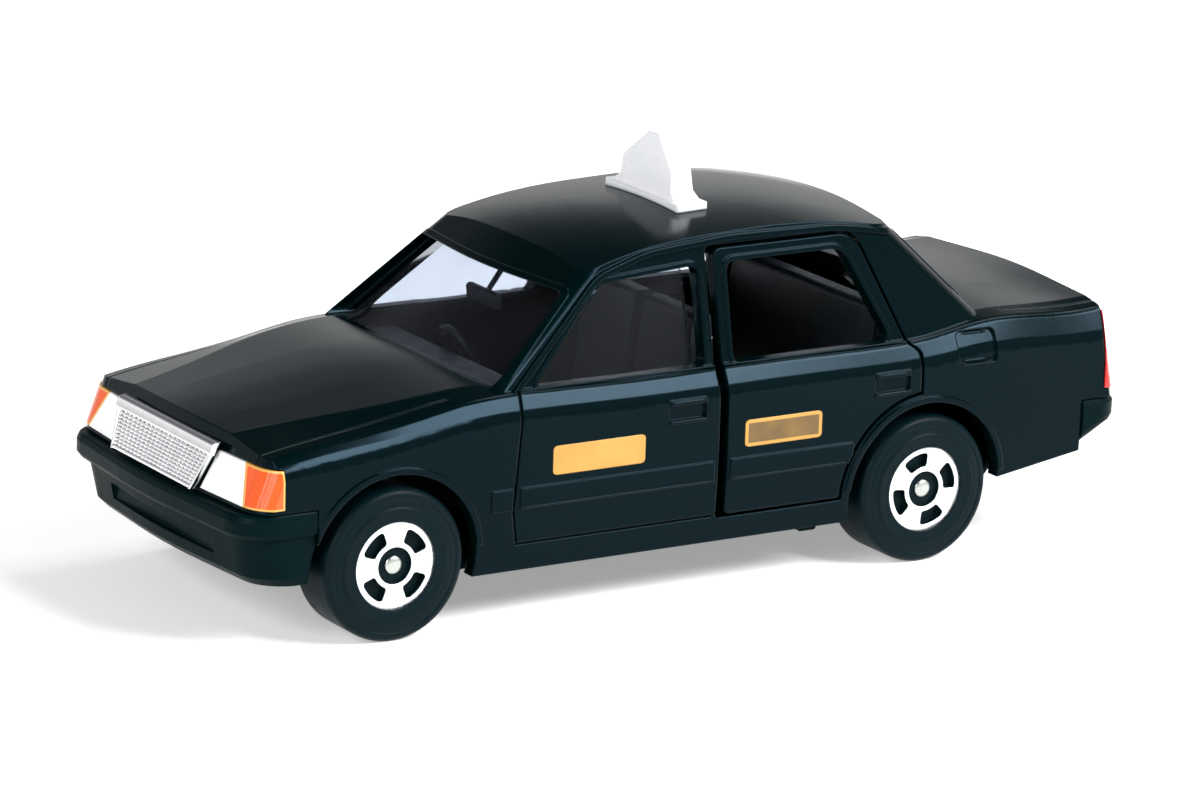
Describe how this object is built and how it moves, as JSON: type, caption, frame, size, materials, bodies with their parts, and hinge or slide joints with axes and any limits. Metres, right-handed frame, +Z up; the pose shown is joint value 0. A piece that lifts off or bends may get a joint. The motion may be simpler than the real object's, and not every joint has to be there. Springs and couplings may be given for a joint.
{
  "type": "toy taxi saloon",
  "caption": "Small die-cast toy taxi: hollow black saloon body with clear glazing, moulded interior, chrome grille, blank roof sign, opening rear left door and free-rolling wheels.",
  "frame": {"origin": "on the ground under the middle of the car", "axes": "+X towards the front of the car, +Y towards its left side, +Z up"},
  "size_m": [0.0742, 0.0268, 0.0303],
  "materials": {
    "black_paint": "gloss",
    "clear_glazing": "clear",
    "interior_plastic": "satin",
    "chrome": "bright",
    "white_plastic": "gloss",
    "base_plastic": "satin",
    "lamp_white": "gloss",
    "lamp_amber": "gloss",
    "lamp_red": "gloss",
    "wheel_plastic": "satin",
    "steel": "plain"
  },
  "bodies": {
    "car": {"body_shell": "black_paint", "window_insert": "clear_glazing", "interior_tray": "interior_plastic", "rear_view_mirror": "interior_plastic", "grille_insert": "chrome", "roof_sign": "white_plastic", "base_plate": "base_plastic", "headlamp_left": "lamp_white", "headlamp_right": "lamp_white", "indicator_left": "lamp_amber", "indicator_right": "lamp_amber", "tail_lamp_left": "lamp_red", "tail_lamp_right": "lamp_red", "front_axle": "steel", "rear_axle": "steel"},
    "door": {"rear_left_door": "black_paint"},
    "wheel_fl": {"wheel_front_left": "wheel_plastic"},
    "wheel_fr": {"wheel_front_right": "wheel_plastic"},
    "wheel_rl": {"wheel_rear_left": "wheel_plastic"},
    "wheel_rr": {"wheel_rear_right": "wheel_plastic"}
  },
  "joints": [
    {"name": "door_hinge", "type": "hinge", "parent": "car", "child": "door", "pos_m": [-0.0033, 0.0119, 0.01], "axis": [0, 0, -1], "range_deg": [0, 60]},
    {"name": "wheel_fl_spin", "type": "hinge", "parent": "car", "child": "wheel_fl", "pos_m": [0.0246, 0.0112, 0.00542], "axis": [0, 1, 0], "continuous": true},
    {"name": "wheel_fr_spin", "type": "hinge", "parent": "car", "child": "wheel_fr", "pos_m": [0.0246, -0.0112, 0.00542], "axis": [0, 1, 0], "continuous": true},
    {"name": "wheel_rl_spin", "type": "hinge", "parent": "car", "child": "wheel_rl", "pos_m": [-0.01905, 0.0112, 0.00542], "axis": [0, 1, 0], "continuous": true},
    {"name": "wheel_rr_spin", "type": "hinge", "parent": "car", "child": "wheel_rr", "pos_m": [-0.01905, -0.0112, 0.00542], "axis": [0, 1, 0], "continuous": true}
  ]
}
